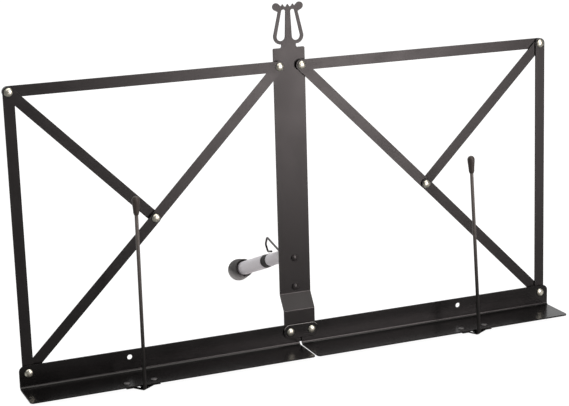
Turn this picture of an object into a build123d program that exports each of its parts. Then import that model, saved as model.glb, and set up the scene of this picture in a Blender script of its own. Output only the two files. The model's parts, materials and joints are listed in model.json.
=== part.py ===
from build123d import *
import os
from math import acos, asin, atan2, cos, degrees, hypot, radians, sin, tan

# Driving dimensions of the folding desk, mm and degrees
pivot_half_gap = 9.8
ledge_pivot_height = 12.2
strip_width = 9.0
strip_thickness = 1.0
hook_flare = 0.4
sheet = 1.2
sheet_bend = 2.0
ledge_half_width = 244.0
ledge_end_margin = 7.7
ledge_half_gap = 1.0
shelf_depth = 34.5
flange_height = 18.5
flange_corner = 5.0
shelf_corner = 3.0
flange_hole = 2.15
bar_width = 28.0
bar_thickness = 1.5
bar_shoulder = 14.8
bar_corner = 1.0
joggle_top = 42.8
joggle_foot = 30.5
joggle_bend = 3.0
bar_foot = 1.8
bridge_width = 31.6
bridge_height = 12.4
bridge_corner = 5.9

# Driving dimensions of the lyre, heights above the bar's shoulder
lyre_neck = (12.8, 5.5)
lyre_low = (6.72, 9.55)
lyre_high = (4.05, 29.7)
lyre_holes = (3.8, 2.0)
lyre_rims = (6.55, 4.45)
lyre_stem = (6.7, 33.1)
lobe_centre = (10.3, 34.0)
lobe_radius = 3.1
lobe_root = (6.0, 30.8)
lobe_root_radius = 2.3
crown_pitch = 4.5
crown_base = 3.4
crown_heights = (31.5, 33.5, 35.9)
neck_fillet = 1.5

# Driving dimensions of the rivets
dome_head = (3.45, 1.5)
black_head = (3.0, 1.5)
clip_head = (2.8, 0.7)
rivet_shank = 1.5
rivet_tail = (2.5, 0.5)
clip_shank = 1.1
clip_tail = (1.8, 0.5)

# Driving dimensions of the page holders
holder_inset = 92.0
holder_wire = 1.5
holder_axle = (-27.0, -38.5)
axle_drop = 0.05
holder_bend = 3.0
holder_top = 148.0
left_holder_lean = 0.0
right_holder_lean = 8.0
tip_base = 140.9
tip_length = 15.1
tip_radii = (2.4, 3.1)
tip_taper = 2.0
tip_lip = 0.35
clip_thickness = 0.5
clip_saddle = (-35.2, -30.0)
clip_slope = 20.0
clip_lug_width = 5.6
clip_lug_end = -22.8
clip_rivet_depth = -26.8

# Driving dimensions of the leg
leg_slope = 20.28
leg_pivot_height = 74.1
inner_tube = (5.45, 0.8)
outer_tube = (6.2, 0.4)
inner_reach = (-6.0, 105.0)
outer_reach = (56.5, 133.0)
bush_reach = (11.0, 12.0)
foot_cover = 17.0
ball_inset = 1.0
foot_radius = 10.0
foot_lip = 8.5
foot_recess = (7.5, 6.0)
bracket_reach = (-30.1, 9.9)
bracket_half_gap = 5.6
bracket_bend = 0.8
ear_reach = (-11.6, 6.9)
ear_depth = 28.8
ear_corner = 3.0
bracket_rivet_offsets = (-0.3, -25.5)
pin_radius = 2.0
pin_head = (3.4, 1.0)
latch_wire = 0.9
latch_bend = 2.3
latch_points = ((29.7, 8.9), (33.5, 2.1), (28.7, -3.6), (20.2, -1.4))
latch_eye_turn = 250.0

# Clearances
seat = 0.1
strip_gap = 0.2
leaning_gap = 0.3
hole_fit = 0.06
pin_fit = 0.05
axle_fit = 0.05
tube_fit = 0.05
fold_gap = 0.5
latch_gap = 0.2
through = 60.0

# Depth of each layer's front face behind the flange's front face
upright_at_ledge = sheet + strip_gap
lower_at_ledge = upright_at_ledge + strip_thickness + leaning_gap
lower_at_middle = lower_at_ledge + leaning_gap
upper_at_middle = lower_at_middle + strip_thickness + strip_gap
brace_depth = upper_at_middle + strip_thickness + leaning_gap
upright_at_corner = brace_depth - strip_gap - strip_thickness
arm_depth = brace_depth + strip_thickness + strip_gap
upper_at_top = arm_depth + strip_thickness + leaning_gap + seat
bar_depth = upper_at_top + strip_thickness + strip_gap
bar_back = bar_depth + bar_thickness
bar_foot_depth = sheet + seat

# Pivots, page holders and the leg's place in the desk's own frame
outer_pivot = ledge_half_width - ledge_end_margin
pivot_spacing = outer_pivot - pivot_half_gap
top_pivot_height = ledge_pivot_height + pivot_spacing
middle_pivot = pivot_half_gap + pivot_spacing / 2
middle_height = ledge_pivot_height + pivot_spacing / 2
shoulder_height = top_pivot_height + bar_shoulder
holder_position = ledge_half_width - holder_inset
leg_pivot_depth = bar_back + foot_radius + fold_gap
bracket_heights = [leg_pivot_height + reach for reach in bracket_reach]
ear_heights = [leg_pivot_height + reach for reach in ear_reach]
bracket_rivets = [leg_pivot_height + shift for shift in bracket_rivet_offsets]
foot_mouth = outer_reach[1] - foot_cover
foot_ball = outer_reach[1] - ball_inset
ball_depth = leg_pivot_depth + foot_ball * cos(radians(leg_slope))
ball_height = leg_pivot_height - foot_ball * sin(radians(leg_slope))

# The desk leans back until the heel of the ledges and the foot's ball share the table
heel_radius = sheet_bend + sheet
heel_to_ball = (ball_depth + sheet_bend, ball_height - sheet_bend)
lean = atan2(heel_to_ball[1], heel_to_ball[0]) - asin((foot_radius - heel_radius) / hypot(*heel_to_ball))
desk_front = Vector(0, -cos(lean), sin(lean))
desk_up = Vector(0, sin(lean), cos(lean))
desk_back = desk_front * -1
across = Vector(1, 0, 0)


def place(x, depth, height):
    heel = Vector(0, 0, heel_radius)
    return heel + across * x + desk_back * (depth + sheet_bend) + desk_up * (height - sheet_bend)


desk = Plane(origin=place(0, 0, 0), x_dir=across, z_dir=desk_front)
side = Plane(origin=place(0, 0, 0), x_dir=desk_back, z_dir=across)
level = Plane(origin=place(0, 0, 0), x_dir=across, z_dir=desk_up)
leg_pivot = place(0, leg_pivot_depth, leg_pivot_height)
leg_dir = Vector(0, cos(lean + radians(leg_slope)), -sin(lean + radians(leg_slope)))
leg_section = Plane(origin=leg_pivot, x_dir=leg_dir, z_dir=across)
leg_axis = Axis(leg_pivot, leg_dir)
pin_section = Plane(origin=leg_pivot, x_dir=across, z_dir=desk_up)
pin_axis = Axis(leg_pivot, across)

os.makedirs("parts", exist_ok=True)


def save(piece, name):
    piece.part.label = name
    export_step(piece.part, f"parts/{name}.step")


def strip(start, end):
    run = end - start
    along = run.normalized()
    face = (desk_front - along * desk_front.dot(along)).normalized()
    plane = Plane(origin=start + run / 2, x_dir=along, z_dir=face)
    with BuildPart() as bar:
        with BuildSketch(plane):
            SlotCenterToCenter(run.length, strip_width)
            with GridLocations(run.length, 0, 2, 1):
                Circle(rivet_shank + hole_fit, mode=Mode.SUBTRACT)
        extrude(amount=-strip_thickness)
    return bar


def hooked_strip(start, end, mouth_side):
    run = end - start
    plane = Plane(origin=start, x_dir=run, z_dir=desk_front)
    hole = rivet_shank + hole_fit
    reach = strip_width / 2 + seat
    flare = mouth_side * (hole + hook_flare * reach)
    with BuildPart() as bar:
        with BuildSketch(plane):
            with Locations((run.length / 2, 0)):
                SlotCenterToCenter(run.length, strip_width)
            with Locations((0, 0), (run.length, 0)):
                Circle(hole, mode=Mode.SUBTRACT)
            with BuildLine(mode=Mode.PRIVATE) as mouth:
                Polyline(
                    (run.length, mouth_side * hole),
                    (run.length + reach, flare),
                    (run.length + reach, -mouth_side * hole),
                    (run.length, -mouth_side * hole),
                    close=True,
                )
            make_face(mouth.edges(), mode=Mode.SUBTRACT)
        extrude(amount=-strip_thickness)
    return bar


def rivets(seats, grip, head, shank, tail=None):
    if tail:
        end = ((0, -grip - tail[1]), (tail[0], -grip - tail[1]), (tail[0], -grip))
    else:
        end = ((0, -grip),)
    with BuildPart() as group:
        for spot in seats:
            with BuildSketch(Plane(origin=spot.origin, x_dir=spot.x_dir, z_dir=spot.y_dir * -1)):
                with BuildLine():
                    Polyline((0, head[1]), *end, (shank, -grip), (shank, 0), (head[0], 0))
                    TangentArc((0, head[1]), (head[0], 0), tangent=(1, 0))
                make_face()
            revolve(axis=Axis(spot.origin, spot.z_dir))
    return group


def desk_seats(xs, height, front):
    return [Plane(origin=place(x, front - seat, height), x_dir=across, z_dir=desk_front) for x in xs]


# Centre bar: joggled strip trimmed to its front outline with the lyre at the top
bar_length = shoulder_height - bar_foot
lyre_top = shoulder_height + lobe_centre[1] + lobe_radius


def hull(first, first_radius, second, second_radius, mode=Mode.ADD):
    with BuildSketch(mode=Mode.PRIVATE) as shape:
        with Locations(first):
            Circle(first_radius)
        with Locations(second):
            Circle(second_radius)
        make_hull()
    add(shape.sketch, mode=mode)


def bar_outline():
    with BuildSketch() as outline:
        with Locations((0, bar_foot + bar_length / 2)):
            RectangleRounded(bar_width, bar_length, bar_corner)
        with Locations((0, shoulder_height)):
            Rectangle(lyre_neck[0], 2 * lyre_neck[1])
            Rectangle(lyre_stem[0], lyre_stem[1], align=(Align.CENTER, Align.MIN))
        for turn in (-1, 1):
            low = (turn * lyre_low[0], shoulder_height + lyre_low[1])
            high = (turn * lyre_high[0], shoulder_height + lyre_high[1])
            lobe = (turn * lobe_centre[0], shoulder_height + lobe_centre[1])
            root = (turn * lobe_root[0], shoulder_height + lobe_root[1])
            hull(low, lyre_rims[0], high, lyre_rims[1])
            hull(lobe, lobe_radius, root, lobe_root_radius)
        corners = outline.vertices().filter_by(lambda v: abs(abs(v.X) - lyre_neck[0] / 2) < seat)
        fillet(corners.filter_by(lambda v: abs(v.Y - shoulder_height) < seat), neck_fillet)
        for turn in (-1, 1):
            low = (turn * lyre_low[0], shoulder_height + lyre_low[1])
            high = (turn * lyre_high[0], shoulder_height + lyre_high[1])
            hull(low, lyre_holes[0], high, lyre_holes[1], mode=Mode.SUBTRACT)
        for step in (-1, 0, 1):
            centre = step * crown_pitch
            with BuildLine(mode=Mode.PRIVATE) as point:
                Polyline(
                    (centre - crown_base / 2, shoulder_height + crown_heights[0]),
                    (centre + crown_base / 2, shoulder_height + crown_heights[0]),
                    (centre + crown_base / 2, shoulder_height + crown_heights[1]),
                    (centre, shoulder_height + crown_heights[2]),
                    (centre - crown_base / 2, shoulder_height + crown_heights[1]),
                    close=True,
                )
            make_face(point.edges())
    return outline


outline = bar_outline()
with BuildPart() as centre_bar:
    with BuildSketch(side):
        with BuildLine():
            FilletPolyline(
                (bar_depth, lyre_top + sheet),
                (bar_depth, joggle_top),
                (bar_foot_depth, joggle_foot),
                (bar_foot_depth, bar_foot),
                radius=joggle_bend,
            )
            offset(amount=bar_thickness, side=Side.LEFT)
        make_face()
    extrude(amount=bar_width, both=True)
    with BuildSketch(desk):
        add(outline.sketch)
        with Locations((0, top_pivot_height), (0, ledge_pivot_height)):
            with GridLocations(2 * pivot_half_gap, 0, 2, 1):
                Circle(rivet_shank + hole_fit, mode=Mode.SUBTRACT)
        with Locations(*[(0, height) for height in bracket_rivets]):
            Circle(rivet_shank + hole_fit, mode=Mode.SUBTRACT)
    extrude(amount=through, both=True, mode=Mode.INTERSECT)
save(centre_bar, "centre_bar")

# Bridge plate in front of both flanges
with BuildPart() as bridge_plate:
    with BuildSketch(desk.offset(seat)):
        with Locations((0, ledge_pivot_height)):
            RectangleRounded(bridge_width, bridge_height, bridge_corner)
            with GridLocations(2 * pivot_half_gap, 0, 2, 1):
                Circle(rivet_shank + hole_fit, mode=Mode.SUBTRACT)
    extrude(amount=sheet)
save(bridge_plate, "bridge_plate")

# Rivets of the centre bar
pivots = (-pivot_half_gap, pivot_half_gap)
plate_front = -seat - sheet
ledge_grip = bar_foot_depth + bar_thickness - plate_front + 2 * seat
ledge_seats = desk_seats(pivots, ledge_pivot_height, plate_front)
save(rivets(ledge_seats, ledge_grip, dome_head, rivet_shank, rivet_tail), "ledge_pivot_rivets")
top_grip = bar_back - arm_depth + 2 * seat
top_seats = desk_seats(pivots, top_pivot_height, arm_depth)
save(rivets(top_seats, top_grip, dome_head, rivet_shank, rivet_tail), "top_pivot_rivets")
bracket_front = bar_back + seat
bracket_back = bracket_front + sheet
bracket_grip = bracket_back - bar_depth + 2 * seat
bracket_seats = [desk_seats((0,), height, bar_depth)[0] for height in bracket_rivets]
save(rivets(bracket_seats, bracket_grip, black_head, rivet_shank, rivet_tail), "leg_bracket_rivets")

# The two folding wings
shelf_under = -sheet
axle_height = shelf_under - axle_drop - holder_wire
clip_top = shelf_under - axle_fit
clip_trough = axle_height - holder_wire - axle_fit
trough_half = (holder_wire + axle_fit) * tan(radians(clip_slope / 2))
saddle_half = trough_half + (clip_top - clip_trough) / tan(radians(clip_slope))
clip_half_width = saddle_half + clip_lug_width
clip_lug_length = clip_lug_end - clip_saddle[0]
clip_rivet_offset = saddle_half + clip_lug_width / 2
clip_rivets = (-clip_rivet_offset, clip_rivet_offset)
wings = (("left", -1, left_holder_lean), ("right", 1, right_holder_lean))
for wing, turn, holder_lean in wings:
    top = place(turn * pivot_half_gap, arm_depth, top_pivot_height)
    corner = place(turn * outer_pivot, arm_depth, top_pivot_height)
    save(strip(top, corner), f"{wing}_top_arm")

    corner = place(turn * outer_pivot, upright_at_corner, top_pivot_height)
    ledge_end = place(turn * outer_pivot, upright_at_ledge, ledge_pivot_height)
    save(strip(corner, ledge_end), f"{wing}_upright")

    top = place(turn * pivot_half_gap, upper_at_top, top_pivot_height)
    middle = place(turn * middle_pivot, upper_at_middle, middle_height)
    save(strip(top, middle), f"{wing}_upper_diagonal")

    middle = place(turn * middle_pivot, lower_at_middle, middle_height)
    ledge_end = place(turn * outer_pivot, lower_at_ledge, ledge_pivot_height)
    save(strip(middle, ledge_end), f"{wing}_lower_diagonal")

    corner = place(turn * outer_pivot, brace_depth, top_pivot_height)
    middle = place(turn * middle_pivot, brace_depth, middle_height)
    save(hooked_strip(corner, middle, turn), f"{wing}_brace")

    # Rivets at the wing's corners
    grip = arm_depth + strip_thickness - upright_at_corner + 2 * seat
    seats = desk_seats((turn * outer_pivot,), top_pivot_height, upright_at_corner)
    save(rivets(seats, grip, dome_head, rivet_shank, rivet_tail), f"{wing}_corner_rivet")
    grip = lower_at_ledge + strip_thickness + 2 * seat
    seats = desk_seats((turn * outer_pivot,), ledge_pivot_height, 0)
    save(rivets(seats, grip, dome_head, rivet_shank, rivet_tail), f"{wing}_ledge_end_rivet")

    # The middle rivet is parted between the two diagonals
    parting = (lower_at_middle + strip_thickness + upper_at_middle) / 2
    grip = parting - seat / 2 - lower_at_middle + seat
    seats = desk_seats((turn * middle_pivot,), middle_height, lower_at_middle)
    save(rivets(seats, grip, dome_head, rivet_shank), f"{wing}_middle_rivet_head")
    grip = brace_depth + strip_thickness + seat - parting - seat / 2
    spot = Plane(
        origin=place(turn * middle_pivot, parting + seat / 2 + grip, middle_height),
        x_dir=across,
        z_dir=desk_front,
    )
    with BuildPart() as middle_tail:
        with BuildSketch(spot):
            Circle(rivet_shank)
        extrude(amount=grip)
        with BuildSketch(spot):
            Circle(rivet_tail[0])
        extrude(amount=-rivet_tail[1])
    save(middle_tail, f"{wing}_middle_rivet_tail")

    # Ledge: one bent sheet, flange behind and shelf in front
    with BuildPart() as ledge:
        with BuildSketch(side.offset(turn * ledge_half_gap)):
            with Locations((sheet / 2, flange_height / 2 - sheet / 2)):
                Rectangle(sheet, flange_height + sheet)
            with Locations(((sheet - shelf_depth) / 2, -sheet / 2)):
                Rectangle(shelf_depth + sheet, sheet)
            fillet(vertices().sort_by_distance((0, 0, 0))[0], sheet_bend)
            fillet(vertices().sort_by_distance((sheet, -sheet, 0))[0], heel_radius)
        extrude(amount=turn * (ledge_half_width - ledge_half_gap))
        ends = edges().filter_by(Axis((0, 0, 0), desk_front)).filter_by(lambda e: e.length < 2 * sheet)
        inner_end, outer_end = ends.sort_by(lambda e: abs(e.center().X))
        fillet(outer_end, flange_corner)
        fillet(inner_end, flange_height - ledge_pivot_height - seat)
        fronts = edges().filter_by(Axis((0, 0, 0), desk_up)).filter_by(lambda e: e.length < 2 * sheet)
        fillet(fronts, shelf_corner)
        with BuildSketch(desk):
            with Locations(*[(turn * x, ledge_pivot_height) for x in (pivot_half_gap, outer_pivot)]):
                Circle(rivet_shank + hole_fit)
            with Locations((turn * holder_position, ledge_pivot_height)):
                Circle(flange_hole)
        extrude(amount=-2 * sheet, mode=Mode.SUBTRACT)
        with BuildSketch(level):
            with Locations(*[(turn * holder_position + shift, clip_rivet_depth) for shift in clip_rivets]):
                Circle(clip_shank + hole_fit)
        extrude(amount=-2 * sheet, mode=Mode.SUBTRACT)
    save(ledge, f"{wing}_ledge")

    # Saddle clip under the shelf: a shallow trough round the axle between two riveted lugs
    clip_plane = Plane(
        origin=place(turn * holder_position, clip_saddle[0], 0), x_dir=across, z_dir=desk_front
    )
    with BuildPart() as holder_clip:
        with BuildSketch(clip_plane):
            with BuildLine():
                Polyline(
                    (-clip_half_width, clip_top),
                    (-saddle_half, clip_top),
                    (-trough_half, clip_trough),
                    (trough_half, clip_trough),
                    (saddle_half, clip_top),
                    (clip_half_width, clip_top),
                )
                offset(amount=clip_thickness, side=Side.RIGHT, kind=Kind.INTERSECTION)
            make_face()
        extrude(amount=clip_saddle[0] - clip_saddle[1])
        with BuildSketch(level.offset(clip_top)):
            for shift in clip_rivets:
                with Locations((turn * holder_position + shift, clip_saddle[0])):
                    Rectangle(clip_lug_width, clip_lug_length, align=(Align.CENTER, Align.MIN))
        extrude(amount=-clip_thickness)
        with BuildSketch(level):
            with Locations(*[(turn * holder_position + shift, clip_rivet_depth) for shift in clip_rivets]):
                Circle(clip_shank + hole_fit)
        extrude(amount=-through, mode=Mode.SUBTRACT)
    save(holder_clip, f"{wing}_holder_clip")
    clip_grip = clip_thickness - clip_top + 2 * seat
    clip_spots = [place(turn * holder_position + shift, clip_rivet_depth, seat) for shift in clip_rivets]
    clip_seats = [Plane(origin=spot, x_dir=across, z_dir=desk_up) for spot in clip_spots]
    save(rivets(clip_seats, clip_grip, clip_head, clip_shank, clip_tail), f"{wing}_holder_clip_rivets")

    # Page holder: an axle under the shelf bent up into an upright wire
    wire_points = (
        place(turn * holder_position, holder_axle[0], axle_height),
        place(turn * holder_position, holder_axle[1], axle_height),
        place(turn * (holder_position - holder_lean), holder_axle[1], holder_top),
    )
    with BuildPart() as page_holder:
        with BuildLine() as wire:
            FilletPolyline(*wire_points, radius=holder_bend)
        with BuildSketch(Plane(origin=wire_points[0], x_dir=across, z_dir=desk_front)):
            Circle(holder_wire)
        sweep(path=wire.wire())
    save(page_holder, f"{wing}_page_holder")

    # Tip pushed over the wire's end
    upright = (wire_points[2] - wire_points[1]).normalized()
    tip_origin = wire_points[2] - upright * (holder_top - tip_base)
    bore_depth = holder_top - tip_base + seat
    tip_section = Plane(origin=tip_origin, x_dir=desk_back, z_dir=desk_back.cross(upright))
    with BuildPart() as holder_tip:
        with BuildSketch(tip_section):
            with BuildLine():
                Polyline(
                    (0, tip_length),
                    (0, bore_depth),
                    (holder_wire + axle_fit, bore_depth),
                    (holder_wire + axle_fit, 0),
                    (holder_wire + axle_fit + tip_lip, 0),
                    (tip_radii[0], tip_taper),
                    (tip_radii[1], tip_length - tip_radii[1]),
                )
                RadiusArc((0, tip_length), (tip_radii[1], tip_length - tip_radii[1]), tip_radii[1])
            make_face()
        revolve(axis=Axis(tip_origin, upright))
    save(holder_tip, f"{wing}_holder_tip")

# Leg bracket: a U of sheet riveted behind the bar
bracket_half = bracket_half_gap + sheet
bracket_height = bracket_heights[1] - bracket_heights[0]
with BuildPart() as leg_bracket:
    with BuildSketch(level.offset(bracket_heights[0])):
        with BuildLine():
            FilletPolyline(
                (-bracket_half, ear_depth),
                (-bracket_half, bracket_front),
                (bracket_half, bracket_front),
                (bracket_half, ear_depth),
                radius=bracket_bend + sheet,
            )
            offset(amount=sheet, side=Side.LEFT)
        make_face()
    extrude(amount=bracket_height)
    with BuildSketch(side):
        with Locations((bracket_front, bracket_heights[0])):
            Rectangle(sheet + bracket_bend, bracket_height, align=(Align.MIN, Align.MIN))
        with BuildSketch(mode=Mode.PRIVATE) as ear:
            with Locations((bracket_front, ear_heights[0])):
                Rectangle(
                    ear_depth - bracket_front, ear_heights[1] - ear_heights[0], align=(Align.MIN, Align.MIN)
                )
            fillet(ear.vertices().group_by(Axis.X)[-1], ear_corner)
        add(ear.sketch)
        with Locations((leg_pivot_depth, leg_pivot_height)):
            Circle(pin_radius + pin_fit, mode=Mode.SUBTRACT)
    extrude(amount=through, both=True, mode=Mode.INTERSECT)
    with BuildSketch(desk.offset(-bracket_front)):
        with Locations(*[(0, height) for height in bracket_rivets]):
            Circle(rivet_shank + hole_fit)
    extrude(amount=-2 * sheet, mode=Mode.SUBTRACT)
save(leg_bracket, "leg_bracket")

# Hinge pin through both ears, its left end carrying the latch's eye
latch_x = -bracket_half - latch_gap - latch_wire
pin_ends = (latch_x - latch_wire - latch_gap, bracket_half + seat)
with BuildPart() as leg_hinge_pin:
    with BuildSketch(pin_section):
        with BuildLine():
            Polyline(
                (pin_ends[0] - pin_head[1], 0),
                (pin_ends[0] - pin_head[1], pin_head[0]),
                (pin_ends[0], pin_head[0]),
                (pin_ends[0], pin_radius),
                (pin_ends[1], pin_radius),
                (pin_ends[1], pin_head[0]),
                (pin_ends[1] + pin_head[1], pin_head[0]),
                (pin_ends[1] + pin_head[1], 0),
                close=True,
            )
        make_face()
    revolve(axis=pin_axis)
save(leg_hinge_pin, "leg_hinge_pin")

# Wire latch: an eye round the pin and a hook beside the tube
eye_radius = pin_radius + seat + latch_wire
eye_start = degrees(atan2(latch_points[0][1], latch_points[0][0]))
eye_start += degrees(acos(eye_radius / hypot(*latch_points[0])))
eye_point = (eye_radius * cos(radians(eye_start)), eye_radius * sin(radians(eye_start)))
latch_plane = Plane(origin=leg_pivot + across * latch_x, x_dir=desk_back, z_dir=across)
with BuildPart() as leg_latch:
    with BuildLine(latch_plane) as hook:
        FilletPolyline(*reversed(latch_points), eye_point, radius=latch_bend)
        CenterArc((0, 0), eye_radius, eye_start, latch_eye_turn)
    path = hook.wire()
    with BuildSketch(Plane(origin=path @ 0, z_dir=path % 0)):
        Circle(latch_wire)
    sweep(path=path)
save(leg_latch, "leg_latch")


def tube(reach, radius, bore):
    with BuildPart() as body:
        with BuildSketch(Plane(origin=leg_pivot + leg_dir * reach[0], x_dir=across, z_dir=leg_dir)):
            Circle(radius)
            Circle(bore, mode=Mode.SUBTRACT)
        extrude(amount=reach[1] - reach[0])
    return body


# Inner leg tube with its cross hole for the pin
inner_bore = inner_tube[0] - inner_tube[1]
with BuildPart() as leg_inner_tube:
    add(tube(inner_reach, inner_tube[0], inner_bore).part)
    with BuildSketch(leg_section):
        Circle(pin_radius + pin_fit)
    extrude(amount=through, both=True, mode=Mode.SUBTRACT)
save(leg_inner_tube, "leg_inner_tube")

# Outer leg tube, the bush in its mouth and the rubber foot on its end
outer_bore = outer_tube[0] - outer_tube[1]
save(tube(outer_reach, outer_tube[0], outer_bore), "leg_outer_tube")
slide_bore = inner_tube[0] + tube_fit
bush_span = (outer_reach[0] - bush_reach[0], outer_reach[0] + bush_reach[1])
save(tube(bush_span, outer_bore - tube_fit, slide_bore), "leg_bush")

socket = outer_tube[0] + tube_fit
recess_floor = foot_mouth + foot_recess[1]
with BuildPart() as rubber_foot:
    with BuildSketch(leg_section):
        with BuildLine():
            Polyline(
                (foot_ball + foot_radius, 0),
                (outer_reach[1] + tube_fit, 0),
                (outer_reach[1] + tube_fit, socket),
                (recess_floor, socket),
                (recess_floor, foot_recess[0]),
                (foot_mouth, foot_recess[0]),
                (foot_mouth, foot_lip),
            )
            Spline(
                (foot_mouth, foot_lip),
                (foot_ball, foot_radius),
                tangents=((1, 0), (1, 0)),
            )
            RadiusArc((foot_ball, foot_radius), (foot_ball + foot_radius, 0), foot_radius)
        make_face()
    revolve(axis=leg_axis)
save(rubber_foot, "rubber_foot")
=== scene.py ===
import json
import math

import bpy
from mathutils import Matrix, Vector


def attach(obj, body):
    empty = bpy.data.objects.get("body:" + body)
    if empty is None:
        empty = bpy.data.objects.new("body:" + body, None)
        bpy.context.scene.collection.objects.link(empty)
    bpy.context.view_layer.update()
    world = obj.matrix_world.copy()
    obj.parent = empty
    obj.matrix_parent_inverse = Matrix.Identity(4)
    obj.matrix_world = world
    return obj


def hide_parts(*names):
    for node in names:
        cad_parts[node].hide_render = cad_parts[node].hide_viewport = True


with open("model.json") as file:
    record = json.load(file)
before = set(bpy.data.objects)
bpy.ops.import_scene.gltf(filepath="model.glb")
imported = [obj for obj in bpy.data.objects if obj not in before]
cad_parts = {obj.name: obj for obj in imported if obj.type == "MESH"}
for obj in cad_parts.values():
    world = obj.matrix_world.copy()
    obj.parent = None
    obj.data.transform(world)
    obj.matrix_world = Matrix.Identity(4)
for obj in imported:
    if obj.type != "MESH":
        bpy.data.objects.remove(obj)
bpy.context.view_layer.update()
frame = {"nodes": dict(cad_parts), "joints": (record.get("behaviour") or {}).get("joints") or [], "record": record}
nodes = frame["nodes"]
joints = {joint["name"]: joint for joint in frame["joints"]}
body_of = {}
for body, members in frame["record"]["behaviour"]["bodies"].items():
    for member in members:
        body_of[member] = body
slot_of = {row["node"]: row["material_slot"] for row in frame["record"]["subparts"]}

MM = 0.001
WINGS = ("left", "right")

# Directions of the leaning desk and of the leg, from the frame's own joints
across = Vector((1, 0, 0))
desk_back = Vector(joints["left_fold"]["axis"])
desk_front = -desk_back
desk_up = across.cross(desk_back)
leg_along = Vector(joints["leg_slide"]["axis"])
leg_pivot = Vector(joints["leg_fold"]["pos_m"])


# Colour helper, node helper and pattern sizes
def linear(code):
    """An sRGB hex value as linear red, green, blue and alpha."""
    parts = [int(code[i : i + 2], 16) / 255 for i in (1, 3, 5)]
    return [c / 12.92 if c <= 0.04045 else ((c + 0.055) / 1.055) ** 2.4 for c in parts] + [1]


def add(tree, kind, settings, inputs):
    """One node with its settings, its socket values and its links."""
    node = tree.nodes.new(kind)
    for name, value in settings.items():
        setattr(node, name, value)
    for name, value in inputs.items():
        if isinstance(value, bpy.types.NodeSocket):
            tree.links.new(value, node.inputs[name])
        else:
            node.inputs[name].default_value = value
    return node


def new_tree(name):
    """An empty material, its tree and its Object coordinates."""
    material = bpy.data.materials.new(name)
    material.use_nodes = True
    tree = material.node_tree
    tree.nodes.clear()
    return material, tree, add(tree, "ShaderNodeTexCoord", {}, {}).outputs["Object"]


def per_metre(size_mm):
    """A noise scale whose features are about this many millimetres across."""
    return 1 / (size_mm * MM)


# Most of a noise texture's values lie between these two
NOISE_LOW = 0.3
NOISE_HIGH = 0.7
# Typical refraction of enamel and plastic, and of rubber
COAT_IOR = 1.5
RUBBER_IOR = 1.52


# Satin black stove enamel: dark warm black, a soft gloss and the faint orange peel of a sprayed coat
def stove_enamel(name, low, high, rough):
    material, tree, place = new_tree(name)
    patches = add(tree, "ShaderNodeTexNoise", {}, {"Vector": place, "Scale": per_metre(18), "Detail": 2})
    peel = add(tree, "ShaderNodeTexNoise", {}, {"Vector": place, "Scale": per_metre(1.1), "Detail": 2})
    # Dust in the coat is finer than this: it is drawn as coarse as it needs to show
    dust = add(tree, "ShaderNodeTexNoise", {}, {"Vector": place, "Scale": per_metre(0.5), "Detail": 1})
    specks = add(
        tree,
        "ShaderNodeMapRange",
        {},
        {"Value": dust.outputs["Fac"], "From Min": 0.7, "From Max": 0.82, "To Min": 0, "To Max": 0.35},
    )
    tone = add(
        tree,
        "ShaderNodeMix",
        {"data_type": "RGBA"},
        {"Factor": patches.outputs["Fac"], "A": linear(low), "B": linear(high)},
    )
    colour = add(
        tree,
        "ShaderNodeMix",
        {"data_type": "RGBA"},
        {"Factor": specks.outputs["Result"], "A": tone.outputs["Result"], "B": linear("#3b3735")},
    )
    gloss = add(
        tree,
        "ShaderNodeMapRange",
        {},
        {
            "Value": patches.outputs["Fac"],
            "From Min": NOISE_LOW,
            "From Max": NOISE_HIGH,
            "To Min": rough,
            "To Max": rough + 0.05,
        },
    )
    bump = add(
        tree, "ShaderNodeBump", {}, {"Height": peel.outputs["Fac"], "Strength": 0.08, "Distance": 0.03 * MM}
    )
    shader = add(
        tree,
        "ShaderNodeBsdfPrincipled",
        {},
        {
            "Base Color": colour.outputs["Result"],
            "Roughness": gloss.outputs["Result"],
            "IOR": COAT_IOR,
            "Normal": bump.outputs["Normal"],
        },
    )
    add(tree, "ShaderNodeOutputMaterial", {}, {"Surface": shader.outputs["BSDF"]})
    return material


# Bright nickel plate: warm white metal, barrel polished, with faint tumbling haze
def nickel_plate():
    material, tree, place = new_tree("nickel_plate_bright")
    haze = add(tree, "ShaderNodeTexNoise", {}, {"Vector": place, "Scale": per_metre(0.9), "Detail": 3})
    tone = add(
        tree,
        "ShaderNodeMix",
        {"data_type": "RGBA"},
        {"Factor": haze.outputs["Fac"], "A": linear("#e6e7d6"), "B": linear("#f8f8ea")},
    )
    gloss = add(
        tree,
        "ShaderNodeMapRange",
        {},
        {
            "Value": haze.outputs["Fac"],
            "From Min": NOISE_LOW,
            "From Max": NOISE_HIGH,
            "To Min": 0.28,
            "To Max": 0.36,
        },
    )
    shader = add(
        tree,
        "ShaderNodeBsdfPrincipled",
        {},
        {"Base Color": tone.outputs["Result"], "Metallic": 1, "Roughness": gloss.outputs["Result"]},
    )
    add(tree, "ShaderNodeOutputMaterial", {}, {"Surface": shader.outputs["BSDF"]})
    return material


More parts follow.
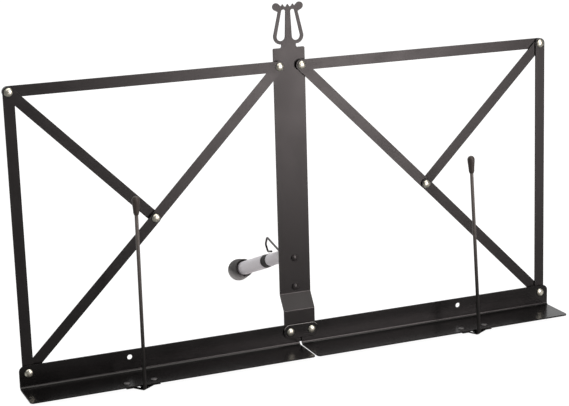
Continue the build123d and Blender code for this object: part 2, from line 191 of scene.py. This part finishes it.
# Drawn steel tube with satin silver plate: pale grey, soft sheen, fine draw lines along the leg
def satin_silver():
    material, tree, place = new_tree("satin_silver_tube")
    turn = leg_along.to_track_quat("Z", "Y").inverted().to_euler()
    # Real draw lines are finer than 0.35 mm: they are drawn as coarse as they need to show
    lines_place = add(
        tree,
        "ShaderNodeMapping",
        {"vector_type": "POINT"},
        {"Vector": place, "Rotation": turn, "Scale": (per_metre(0.35), per_metre(0.35), per_metre(30))},
    )
    lines = add(
        tree, "ShaderNodeTexNoise", {}, {"Vector": lines_place.outputs["Vector"], "Scale": 1, "Detail": 2}
    )
    tone = add(
        tree,
        "ShaderNodeMix",
        {"data_type": "RGBA"},
        {"Factor": lines.outputs["Fac"], "A": linear("#dedbe1"), "B": linear("#f0eef2")},
    )
    gloss = add(
        tree,
        "ShaderNodeMapRange",
        {},
        {
            "Value": lines.outputs["Fac"],
            "From Min": NOISE_LOW,
            "From Max": NOISE_HIGH,
            "To Min": 0.34,
            "To Max": 0.46,
        },
    )
    shader = add(
        tree,
        "ShaderNodeBsdfPrincipled",
        {},
        {"Base Color": tone.outputs["Result"], "Metallic": 0.3, "Roughness": gloss.outputs["Result"]},
    )
    add(tree, "ShaderNodeOutputMaterial", {}, {"Surface": shader.outputs["BSDF"]})
    return material


# Plain and zinc plated steel: dull grey to bluish white metal with a cloudy skin
def cloudy_steel(name, low, high, rough):
    material, tree, place = new_tree(name)
    clouds = add(tree, "ShaderNodeTexNoise", {}, {"Vector": place, "Scale": per_metre(3.5), "Detail": 4})
    tone = add(
        tree,
        "ShaderNodeMix",
        {"data_type": "RGBA"},
        {"Factor": clouds.outputs["Fac"], "A": linear(low), "B": linear(high)},
    )
    gloss = add(
        tree,
        "ShaderNodeMapRange",
        {},
        {
            "Value": clouds.outputs["Fac"],
            "From Min": NOISE_LOW,
            "From Max": NOISE_HIGH,
            "To Min": rough,
            "To Max": rough + 0.12,
        },
    )
    shader = add(
        tree,
        "ShaderNodeBsdfPrincipled",
        {},
        {"Base Color": tone.outputs["Result"], "Metallic": 1, "Roughness": gloss.outputs["Result"]},
    )
    add(tree, "ShaderNodeOutputMaterial", {}, {"Surface": shader.outputs["BSDF"]})
    return material


# Moulded plastic, gloss enamel and a painted edge highlight: one quiet tone with a fine moulded or sprayed grain
def smooth_skin(name, low, high, rough, grain_mm):
    material, tree, place = new_tree(name)
    grain = add(tree, "ShaderNodeTexNoise", {}, {"Vector": place, "Scale": per_metre(grain_mm), "Detail": 2})
    tone = add(
        tree,
        "ShaderNodeMix",
        {"data_type": "RGBA"},
        {"Factor": grain.outputs["Fac"], "A": linear(low), "B": linear(high)},
    )
    gloss = add(
        tree,
        "ShaderNodeMapRange",
        {},
        {
            "Value": grain.outputs["Fac"],
            "From Min": NOISE_LOW,
            "From Max": NOISE_HIGH,
            "To Min": rough,
            "To Max": rough + 0.08,
        },
    )
    shader = add(
        tree,
        "ShaderNodeBsdfPrincipled",
        {},
        {"Base Color": tone.outputs["Result"], "Roughness": gloss.outputs["Result"], "IOR": COAT_IOR},
    )
    add(tree, "ShaderNodeOutputMaterial", {}, {"Surface": shader.outputs["BSDF"]})
    return material


# Moulded rubber: grey black and matt, with a fine pitted skin and a mottled bloom, and painted light: paler
# towards the ground, as floor light bounced onto it
def moulded_rubber():
    material, tree, place = new_tree("moulded_rubber_grey")
    bloom = add(tree, "ShaderNodeTexNoise", {}, {"Vector": place, "Scale": per_metre(5), "Detail": 4})
    # Real pits are finer than 0.6 mm: they are drawn as coarse as they need to show
    pits = add(tree, "ShaderNodeTexNoise", {}, {"Vector": place, "Scale": per_metre(0.6), "Detail": 3})
    parts = add(tree, "ShaderNodeSeparateXYZ", {}, {"Vector": place})
    # Painted light: the rubber pales towards the ground, standing for light bounced up from the floor
    height = add(
        tree,
        "ShaderNodeMapRange",
        {},
        {
            "Value": parts.outputs["Z"],
            "From Min": 14 * MM,
            "From Max": 3 * MM,
            "To Min": -0.15,
            "To Max": 0.85,
        },
    )
    # Random bloom tone added to the painted floor light
    bloom_and_floor_light = add(
        tree,
        "ShaderNodeMath",
        {"operation": "MULTIPLY_ADD"},
        {0: bloom.outputs["Fac"], 1: 0.3, 2: height.outputs["Result"]},
    )
    tone = add(
        tree,
        "ShaderNodeMix",
        {"data_type": "RGBA"},
        {"Factor": bloom_and_floor_light.outputs["Value"], "A": linear("#474545"), "B": linear("#d2d0d0")},
    )
    bump = add(
        tree, "ShaderNodeBump", {}, {"Height": pits.outputs["Fac"], "Strength": 0.25, "Distance": 0.06 * MM}
    )
    shader = add(
        tree,
        "ShaderNodeBsdfPrincipled",
        {},
        {
            "Base Color": tone.outputs["Result"],
            "Roughness": 0.72,
            "IOR": RUBBER_IOR,
            "Normal": bump.outputs["Normal"],
        },
    )
    add(tree, "ShaderNodeOutputMaterial", {}, {"Surface": shader.outputs["BSDF"]})
    return material


# Blackened spring wire: black down at the ledge, with a painted sheen that lightens it to a warm grey towards the
# tip, and a little grain
def wire_with_painted_sheen():
    material, tree, place = new_tree("blackened_wire_painted_sheen")
    parts = add(tree, "ShaderNodeSeparateXYZ", {}, {"Vector": place})
    grain = add(tree, "ShaderNodeTexNoise", {}, {"Vector": place, "Scale": per_metre(2.5), "Detail": 2})
    # Painted sheen: the wire lightens with height, as the front light catches its upper part
    height = add(
        tree,
        "ShaderNodeMapRange",
        {},
        {
            "Value": parts.outputs["Z"],
            "From Min": 32 * MM,
            "From Max": 138 * MM,
            "To Min": -0.1,
            "To Max": 0.9,
        },
    )
    # A little random grain added to the painted sheen
    grain_and_painted_sheen = add(
        tree,
        "ShaderNodeMath",
        {"operation": "MULTIPLY_ADD"},
        {0: grain.outputs["Fac"], 1: 0.2, 2: height.outputs["Result"]},
    )
    tone = add(
        tree,
        "ShaderNodeMix",
        {"data_type": "RGBA"},
        {"Factor": grain_and_painted_sheen.outputs["Value"], "A": linear("#1a1918"), "B": linear("#7b7672")},
    )
    shader = add(
        tree,
        "ShaderNodeBsdfPrincipled",
        {},
        {"Base Color": tone.outputs["Result"], "Roughness": 0.3, "IOR": COAT_IOR},
    )
    add(tree, "ShaderNodeOutputMaterial", {}, {"Surface": shader.outputs["BSDF"]})
    return material


# One finish for each material slot of the record
finishes = {
    "black_paint": stove_enamel("stove_enamel_black", "#131111", "#171515", rough=0.29),
    "nickel_rivet": nickel_plate(),
    "steel_rivet": cloudy_steel("dull_steel", "#5f5e5e", "#787676", rough=0.38),
    "black_rivet": smooth_skin("gloss_enamel_black", "#2a2828", "#363333", rough=0.26, grain_mm=2.0),
    "black_wire": wire_with_painted_sheen(),
    # The wires' tips: black plastic lightened to a brownish grey, as painted sheen
    "black_plastic": smooth_skin("polythene_black_painted_sheen", "#433d39", "#504944", rough=0.42, grain_mm=0.6),
    "zinc_steel": cloudy_steel("zinc_plate", "#b9babd", "#d6d7d9", rough=0.28),
    "silver_tube": satin_silver(),
    "bright_wire": cloudy_steel("zinc_wire", "#4c4a4a", "#686666", rough=0.2),
    "rubber": moulded_rubber(),
}
# The bush is nylon, a flatter and deeper black than the wires' polythene tips, whose brownish grey is painted
# sheen
bush_finish = smooth_skin("nylon_black", "#080808", "#0e0e0e", rough=0.62, grain_mm=0.6)
# The two ledges and the bridge plate: the strips' enamel made glossier and painted a deeper black, as painted
# shade
ledge_finish = stove_enamel("stove_enamel_shaded_black", "#090808", "#0c0b0b", rough=0.22)
# A pale grey line painted along the eased edges that look up and forward: a painted highlight of the overhead
# light
painted_edge_highlight = smooth_skin("painted_edge_highlight_enamel", "#9c9b9a", "#c9c8c6", rough=0.3, grain_mm=2.0)


# Shared steps for new pieces
def start_editing(piece):
    bpy.ops.object.select_all(action="DESELECT")
    bpy.context.view_layer.objects.active = piece
    piece.select_set(True)
    bpy.ops.object.mode_set(mode="EDIT")
    bpy.ops.mesh.select_all(action="SELECT")


def stand_for(piece, node):
    """Puts a piece on a CAD node's body, in place of the node, which it hides."""
    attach(piece, body_of[node])
    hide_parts(node)


def corners(node, keep=None):
    """The CAD node's points, all of them or those that keep accepts."""
    points = [vertex.co.copy() for vertex in nodes[node].data.vertices]
    return [point for point in points if keep is None or keep(point)]


def span(points, direction):
    reach = [point.dot(direction) for point in points]
    return min(reach), max(reach)


# Pressed and punched sheet: the CAD form with its edges eased, in mm, as tumbling and paint leave them
STRIPS = ("top_arm", "upright", "upper_diagonal", "lower_diagonal", "brace")
STRIP_EDGE = 0.28
LEDGE_EDGE = 0.35
CLIP_EDGE = 0.1
BAR_EDGE = 0.38
PLATE_EDGE = 0.42
BRACKET_EDGE = 0.15
EDGE_SEGMENTS = 3
SHARP_DEGREES = 40
FLAT_DEGREES = 0.6
SHEET_SMOOTH = 35
SHEET_MERGE = 0.002
# How far an eased face has to look up and forward to get the painted highlight
HIGHLIGHT_UP = 0.3
HIGHLIGHT_FRONT = 0.2


def eased_sheet(node, edge_mm, finish=None, highlight_finish=None):
    piece = bpy.data.objects.new(f"{node}_painted", nodes[node].data.copy())
    bpy.context.scene.collection.objects.link(piece)
    piece.data.materials.clear()
    piece.data.materials.append(finish or finishes[slot_of[node]])
    start_editing(piece)
    bpy.ops.mesh.customdata_custom_splitnormals_clear()
    bpy.ops.mesh.remove_doubles(threshold=SHEET_MERGE * MM)
    bpy.ops.mesh.dissolve_limited(angle_limit=math.radians(FLAT_DEGREES))
    bpy.ops.object.mode_set(mode="OBJECT")
    ease = piece.modifiers.new("eased_edges", "BEVEL")
    ease.width = edge_mm * MM
    ease.segments = EDGE_SEGMENTS
    ease.limit_method = "ANGLE"
    ease.angle_limit = math.radians(SHARP_DEGREES)
    bpy.ops.object.modifier_apply(modifier=ease.name)
    # Eased faces that look up and forward take the second finish, a painted highlight
    if highlight_finish:
        piece.data.materials.append(highlight_finish)
        for face in piece.data.polygons:
            front = face.normal.dot(desk_front)
            if face.normal.dot(desk_up) > HIGHLIGHT_UP and front > HIGHLIGHT_FRONT:
                face.material_index = 1
    bpy.ops.object.shade_smooth_by_angle(angle=math.radians(SHEET_SMOOTH))
    flats = piece.modifiers.new("flat_faces", "WEIGHTED_NORMAL")
    flats.keep_sharp = True
    bpy.ops.object.modifier_apply(modifier=flats.name)
    stand_for(piece, node)


for wing in WINGS:
    for strip in STRIPS:
        eased_sheet(f"{wing}_{strip}", STRIP_EDGE)
    eased_sheet(f"{wing}_ledge", LEDGE_EDGE, ledge_finish)
    eased_sheet(f"{wing}_holder_clip", CLIP_EDGE)
eased_sheet("centre_bar", BAR_EDGE)
eased_sheet("bridge_plate", PLATE_EDGE, ledge_finish, painted_edge_highlight)
eased_sheet("leg_bracket", BRACKET_EDGE)

# Turned and headed pieces: a circle drawn out ring by ring along its axis
ROUND_SIDES = 48
TUBE_SIDES = 96
FOOT_SIDES = 72
RING_MERGE = 0.0005
# Angles up to which edges shade smooth: on rivets and bush, on the tube, on soft tips and foot
EDGED_SMOOTH = 40
TUBE_SMOOTH = 35
SOFT_SMOOTH = 50


def turned(name, rings, foot, axis, hollow=False, sides=ROUND_SIDES):
    """rings are (radius, height) in mm above foot. A hollow piece's last ring is its first again."""
    bpy.ops.object.select_all(action="DESELECT")
    radius, height = rings[0]
    bpy.ops.mesh.primitive_circle_add(
        vertices=sides,
        radius=radius * MM,
        fill_type="NOTHING" if hollow else "NGON",
        location=(0, 0, 0),
    )
    piece = bpy.context.active_object
    piece.name = name
    start_editing(piece)
    bpy.ops.transform.translate(value=(0, 0, height * MM))
    for next_radius, next_height in rings[1:]:
        bpy.ops.mesh.extrude_region_move(
            TRANSFORM_OT_translate={"value": (0, 0, (next_height - height) * MM)}
        )
        grow = next_radius / radius
        bpy.ops.transform.resize(value=(grow, grow, 1), center_override=(0, 0, next_height * MM))
        radius = next_radius
        height = next_height
    bpy.ops.mesh.select_all(action="SELECT")
    bpy.ops.mesh.remove_doubles(threshold=RING_MERGE * MM)
    bpy.ops.mesh.normals_make_consistent(inside=False)
    bpy.ops.object.mode_set(mode="OBJECT")
    piece.matrix_world = Matrix.Translation(foot) @ axis.to_track_quat("Z", "Y").to_matrix().to_4x4()
    bpy.ops.object.transform_apply(location=True, rotation=True, scale=True)
    return piece


def finish_turned(piece, node, smooth_degrees, finish=None):
    """Gives a turned piece, still the one selected, its shading and its finish, in place of its node."""
    bpy.ops.object.shade_smooth_by_angle(angle=math.radians(smooth_degrees))
    piece.data.materials.append(finish or finishes[slot_of[node]])
    stand_for(piece, node)


# Profiles of turned ends, as shares of a radius and of a rise
TAIL_PROFILE = ((0.8, 0), (0.95, 0.2), (1, 0.6), (1, 1))
RIM_PROFILE = ((0.95, 0), (1, 0.4), (1, 1))
PARTED_PROFILE = ((0.9, 0), (1, 0.1))
RIM_SHARE = 0.2
# A crown's steps, and the count that would close it: a little more, so a small flat is left at its top
CROWN_STEPS = 8
CROWN_CLOSING = 8.4
BALL_STEPS = 12
BALL_CLOSING = 12.3


def crown(radius, base, rise, steps, closing):
    """Rings of a rounded end."""
    angles = [math.radians(90) * step / closing for step in range(1, steps + 1)]
    return [(radius * math.cos(angle), base + rise * math.sin(angle)) for angle in angles]


def swelling(start, end, steps):
    """Rings that swell smoothly from the ring start, which isn't repeated, to the ring end."""
    rings = []
    for step in range(1, steps + 1):
        share = step / steps
        swell = share * share * (3 - 2 * share)
        radius = start[0] + (end[0] - start[0]) * swell
        rings.append((radius, start[1] + (end[1] - start[1]) * share))
    return rings


def dome_rings(radius, base, rise):
    """Rings of a snap head: a short rounded rim, then a crown."""
    rim = rise * RIM_SHARE
    rings = [(radius * wide, base + rim * high) for wide, high in RIM_PROFILE]
    return rings + crown(radius, base + rim, rise - rim, CROWN_STEPS, CROWN_CLOSING)


def tail_rings(radius, rise, shank):
    """Rings of an upset tail, from its back to the shank."""
    return [(radius * wide, rise * high) for wide, high in TAIL_PROFILE] + [(shank, rise)]


# Snap head rivets: the tail, a radius and a rise, is upset flat behind, the head is a smooth dome in front
SHANK = 1.5
TAIL = (2.5, 0.5)
HEAD_RISE = 1.5
CLIP_SHANK = 1.1
CLIP_TAIL = (1.8, 0.5)
CLIP_HEAD_RISE = 0.7


def rivet(name, points, axis, tail, shank, head_rise):
    """A rivet along axis through the middle of these CAD points. With no tail, its shank ends bare."""
    side = axis.cross(across)
    low, high = span(points, axis)
    x_low, x_high = span(points, across)
    side_low, side_high = span(points, side)
    foot = across * (x_low + x_high) / 2 + side * (side_low + side_high) / 2 + axis * low
    length = (high - low) / MM
    radius = (x_high - x_low) / 2 / MM
    if tail:
        rings = tail_rings(*tail, shank)
    else:
        rings = [(shank * wide, shank * rise) for wide, rise in PARTED_PROFILE]
    seat = length - head_rise
    rings.append((shank, seat))
    rings += dome_rings(radius, seat, head_rise)
    return turned(name, rings, foot, axis)


def rivet_group(node, axis, tail, shank, head_rise, splits):
    """One piece from the rivets of a node, each found by its own test."""
    made = [
        rivet(f"{node}_{count}", corners(node, test), axis, tail, shank, head_rise)
        for count, test in enumerate(splits)
    ]
    bpy.ops.object.select_all(action="DESELECT")
    for piece in made:
        piece.select_set(True)
    bpy.context.view_layer.objects.active = made[0]
    if len(made) > 1:
        bpy.ops.object.join()
    piece = bpy.context.active_object
    piece.name = f"{node}_headed"
    finish_turned(piece, node, EDGED_SMOOTH)


def by_side(direction, middle):
    """Two tests that part a node's points below and above this place along direction."""
    return (lambda point: point.dot(direction) < middle, lambda point: point.dot(direction) >= middle)


for node in ("top_pivot_rivets", "ledge_pivot_rivets"):
    rivet_group(node, desk_front, TAIL, SHANK, HEAD_RISE, by_side(across, 0))
node = "leg_bracket_rivets"
middle = sum(span(corners(node), desk_up)) / 2
rivet_group(node, desk_front, TAIL, SHANK, HEAD_RISE, by_side(desk_up, middle))
for wing in WINGS:
    for node in (f"{wing}_corner_rivet", f"{wing}_ledge_end_rivet"):
        rivet_group(node, desk_front, TAIL, SHANK, HEAD_RISE, (None,))
    rivet_group(f"{wing}_middle_rivet_head", desk_front, None, SHANK, HEAD_RISE, (None,))
    node = f"{wing}_holder_clip_rivets"
    middle = sum(span(corners(node), across)) / 2
    rivet_group(node, desk_up, CLIP_TAIL, CLIP_SHANK, CLIP_HEAD_RISE, by_side(across, middle))

# Middle rivets' tails, upset behind the braces, with the bare end of each shank eased
SHANK_EASE = 0.1
SHANK_END_SHARE = 0.93
for wing in WINGS:
    node = f"{wing}_middle_rivet_tail"
    points = corners(node)
    low, high = span(points, desk_front)
    centre = across * sum(span(points, across)) / 2 + desk_up * sum(span(points, desk_up)) / 2
    length = (high - low) / MM
    rings = tail_rings(*TAIL, SHANK)
    rings += [(SHANK, length - SHANK_EASE), (SHANK * SHANK_END_SHARE, length)]
    piece = turned(f"{node}_upset", rings, centre + desk_front * low, desk_front)
    finish_turned(piece, node, EDGED_SMOOTH)

# Plastic tips pushed over the wires: a tapered mouth, then a slim body that swells to a rounded bead
TIP_MOUTH = 1.9
TIP_NECK = (2.4, 2.0)
TIP_STEPS = 7
WIRE_END = 0.5
# The mouth's rounded lip, as shares of its radius and heights in mm
TIP_LIP = ((0.7, 0.1), (0.92, 0), (1, 0.15))


def middle_of(points):
    """The middle of these points' box."""
    sides = (across, desk_back, desk_up)
    return sum((side * sum(span(points, side)) / 2 for side in sides), Vector())


for wing in WINGS:
    # The wire rises straight from its axle, so its end and the joint give its direction
    wire = f"{wing}_page_holder"
    wire_top = span(corners(wire), desk_up)[1]
    wire_end = middle_of(corners(wire, lambda point: point.dot(desk_up) > wire_top - WIRE_END * MM))
    rise = wire_end - Vector(joints[f"{wing}_holder_swing"]["pos_m"])
    axis = (rise - desk_front * rise.dot(desk_front)).normalized()
    node = f"{wing}_holder_tip"
    low, high = span(corners(node), axis)
    length = (high - low) / MM
    bead = max((point - wire_end).cross(axis).length for point in corners(node)) / MM
    foot = wire_end + axis * (low - wire_end.dot(axis))
    body_end = length - bead
    rings = [(TIP_MOUTH * wide, height) for wide, height in TIP_LIP]
    rings.append(TIP_NECK)
    rings += swelling(TIP_NECK, (bead, body_end), TIP_STEPS)
    rings += crown(bead, body_end, bead, CROWN_STEPS, CROWN_CLOSING)
    piece = turned(f"{node}_moulded", rings, foot, axis)
    finish_turned(piece, node, SOFT_SMOOTH)

# Outer leg tube with rolled ends, the plain bush in its mouth and the bell of the rubber foot
leg_start = leg_pivot.dot(leg_along)
ROLLED_END = 0.18
BUSH_RIM = 0.08
PART_GAP = 0.05
FOOT_LIP = 8.5
FOOT_RECESS = 7.5
FOOT_RECESS_DEPTH = 6.0
FOOT_STEPS = 9
# The socket's floor starts from a small disc
FOOT_CENTRE = 0.4
# The rubber's rounded corners, and the ring between a corner's ends
SOFT = 0.4
SOFT_OUT = SOFT * 0.4
SOFT_UP = SOFT * 0.2


def leg_span(node):
    low, high = span(corners(node), leg_along)
    return (low - leg_start) / MM, (high - leg_start) / MM


def leg_radii(node):
    reach = [(point - leg_pivot).cross(leg_along).length / MM for point in corners(node)]
    return min(reach), max(reach)


tube_start, tube_end = leg_span("leg_outer_tube")
tube_bore, tube_radius = leg_radii("leg_outer_tube")
rings = [
    (tube_bore, tube_start + ROLLED_END),
    (tube_bore + ROLLED_END, tube_start),
    (tube_radius - ROLLED_END, tube_start),
    (tube_radius, tube_start + ROLLED_END),
    (tube_radius, tube_end - ROLLED_END),
    (tube_radius - ROLLED_END, tube_end),
    (tube_bore + ROLLED_END, tube_end),
    (tube_bore, tube_end - ROLLED_END),
    (tube_bore, tube_start + ROLLED_END),
]
piece = turned("leg_outer_tube_rolled", rings, leg_pivot, leg_along, hollow=True, sides=TUBE_SIDES)
finish_turned(piece, "leg_outer_tube", TUBE_SMOOTH)

bush_start, bush_end = leg_span("leg_bush")
bush_bore, bush_radius = leg_radii("leg_bush")
rings = [
    (bush_bore, bush_start + BUSH_RIM),
    (bush_bore + BUSH_RIM, bush_start),
    (bush_radius - BUSH_RIM, bush_start),
    (bush_radius, bush_start + BUSH_RIM),
    (bush_radius, bush_end),
    (bush_bore, bush_end),
    (bush_bore, bush_start + BUSH_RIM),
]
piece = turned("leg_bush_moulded", rings, leg_pivot, leg_along, hollow=True, sides=TUBE_SIDES)
finish_turned(piece, "leg_bush", EDGED_SMOOTH, bush_finish)

lip, foot_end = leg_span("rubber_foot")
foot_radius = leg_radii("rubber_foot")[1]
ball = foot_end - foot_radius
recess_floor = lip + FOOT_RECESS_DEPTH
socket_radius = tube_radius + PART_GAP
socket_end = tube_end + PART_GAP
rings = [
    (FOOT_CENTRE, socket_end),
    (socket_radius, socket_end),
    (socket_radius, recess_floor),
    (FOOT_RECESS - SOFT, recess_floor),
    (FOOT_RECESS, recess_floor - SOFT),
    (FOOT_RECESS, lip + SOFT),
    (FOOT_RECESS + SOFT_OUT, lip + SOFT_UP),
    (FOOT_RECESS + SOFT, lip),
    (FOOT_LIP - SOFT_OUT, lip + SOFT_UP),
    (FOOT_LIP, lip + SOFT),
]
rings += swelling((FOOT_LIP, lip + SOFT), (foot_radius, ball), FOOT_STEPS)
rings += crown(foot_radius, ball, foot_radius, BALL_STEPS, BALL_CLOSING)
piece = turned("rubber_foot_moulded", rings, leg_pivot, leg_along, sides=FOOT_SIDES)
finish_turned(piece, "rubber_foot", SOFT_SMOOTH)

# CAD nodes that keep their own form get their finish
for name, node in nodes.items():
    if not node.hide_render:
        node.data.materials.clear()
        node.data.materials.append(finishes[slot_of[name]])

# Paper floor, grey in front and white behind, mostly white to the camera, with the stand's faint shadow
FLOOR_SIZE = 8
GREY_UNTIL = -100
WHITE_FROM = 60
FLOOR_GLOW = 1.3
GLOW_SHARE = 0.75
bpy.ops.object.select_all(action="DESELECT")
bpy.ops.mesh.primitive_plane_add(size=FLOOR_SIZE, location=(0, 0, 0))
floor = bpy.context.active_object
floor.name = "studio_floor"
material, tree, place = new_tree("white_paper_sweep")
parts = add(tree, "ShaderNodeSeparateXYZ", {}, {"Vector": place})
behind = add(
    tree,
    "ShaderNodeMapRange",
    {"interpolation_type": "SMOOTHSTEP"},
    {
        "Value": parts.outputs["Y"],
        "From Min": GREY_UNTIL * MM,
        "From Max": WHITE_FROM * MM,
        "To Min": 0,
        "To Max": 1,
    },
)
tone = add(
    tree,
    "ShaderNodeMix",
    {"data_type": "RGBA"},
    {"Factor": behind.outputs["Result"], "A": linear("#858585"), "B": linear("#f2f2f2")},
)
paper = add(tree, "ShaderNodeBsdfDiffuse", {}, {"Color": tone.outputs["Result"]})
glow = add(tree, "ShaderNodeEmission", {}, {"Color": linear("#ffffff"), "Strength": FLOOR_GLOW})
path = add(tree, "ShaderNodeLightPath", {}, {})
share = add(
    tree, "ShaderNodeMath", {"operation": "MULTIPLY"}, {0: path.outputs["Is Camera Ray"], 1: GLOW_SHARE}
)
mixed = add(
    tree,
    "ShaderNodeMixShader",
    {},
    {0: share.outputs["Value"], 1: paper.outputs["BSDF"], 2: glow.outputs["Emission"]},
)
add(tree, "ShaderNodeOutputMaterial", {}, {"Surface": mixed.outputs["Shader"]})
floor.data.materials.append(material)

# World: a white sweep behind the object, a dim room on the camera's side, white wherever it is seen
SWEEP_START = 0.1
SWEEP_FULL = 0.7
ROOM_LEVEL = 0.1
world = bpy.data.worlds.new("white_studio")
bpy.context.scene.world = world
world.use_nodes = True
tree = world.node_tree
tree.nodes.clear()
path = add(tree, "ShaderNodeLightPath", {}, {})
look = add(tree, "ShaderNodeTexCoord", {}, {})
parts = add(tree, "ShaderNodeSeparateXYZ", {}, {"Vector": look.outputs["Generated"]})
sweep = add(
    tree,
    "ShaderNodeMapRange",
    {"interpolation_type": "SMOOTHSTEP"},
    {
        "Value": parts.outputs["Y"],
        "From Min": SWEEP_START,
        "From Max": SWEEP_FULL,
        "To Min": ROOM_LEVEL,
        "To Max": 1,
    },
)
seen = add(
    tree,
    "ShaderNodeMath",
    {"operation": "MAXIMUM"},
    {0: path.outputs["Is Camera Ray"], 1: path.outputs["Is Transmission Ray"]},
)
level = add(
    tree,
    "ShaderNodeMath",
    {"operation": "MAXIMUM"},
    {0: seen.outputs["Value"], 1: sweep.outputs["Result"]},
)
white = add(
    tree, "ShaderNodeBackground", {}, {"Color": linear("#ffffff"), "Strength": level.outputs["Value"]}
)
add(tree, "ShaderNodeOutputWorld", {}, {"Surface": white.outputs["Background"]})


# Soft boxes, with places and sizes in metres
def soft_box(name, place, aim, size, watts, colour):
    light = bpy.data.lights.new(name, "AREA")
    light.shape = "RECTANGLE"
    light.size = size[0]
    light.size_y = size[1]
    light.energy = watts
    light.color = linear(colour)[:3]
    lamp = bpy.data.objects.new(name, light)
    lamp.location = place
    lamp.rotation_euler = (Vector(aim) - Vector(place)).to_track_quat("-Z", "Y").to_euler()
    bpy.context.scene.collection.objects.link(lamp)


soft_box(
    "overhead_box",
    place=(0.35, 0.05, 1.6),
    aim=(0.1, 0, 0.1),
    size=(1.6, 0.9),
    watts=9,
    colour="#fffaf5",
)
soft_box(
    "front_box",
    place=(0.72, -1.5, 0.38),
    aim=(0, 0, 0.15),
    size=(0.56, 0.76),
    watts=8.8,
    colour="#fff2f1",
)
soft_box(
    "high_front_box",
    place=(0.1, -1.0, 1.2),
    aim=(0, 0, 0.1),
    size=(1.9, 0.5),
    watts=7,
    colour="#fff6f3",
)

# Camera at the photograph's angle, found from the places of the rivets in it
CAMERA_PLACE = (-0.5025, -1.1271, 0.5981)
CAMERA_TURN = 23.204
CAMERA_TILT = 20.786
CAMERA_ROLL = 1.456
SENSOR_WIDTH = 36
LENS = 101.17
camera_data = bpy.data.cameras.new("photo_camera")
camera_data.sensor_width = SENSOR_WIDTH
camera_data.lens = LENS
camera = bpy.data.objects.new("photo_camera", camera_data)
view = Matrix.Rotation(math.radians(-CAMERA_TURN), 4, "Z")
view = view @ Matrix.Rotation(math.radians(90 - CAMERA_TILT), 4, "X")
view = view @ Matrix.Rotation(math.radians(CAMERA_ROLL), 4, "Z")
camera.matrix_world = Matrix.Translation(CAMERA_PLACE) @ view
bpy.context.scene.collection.objects.link(camera)
bpy.context.scene.camera = camera
bpy.context.scene.view_settings.view_transform = "Standard"
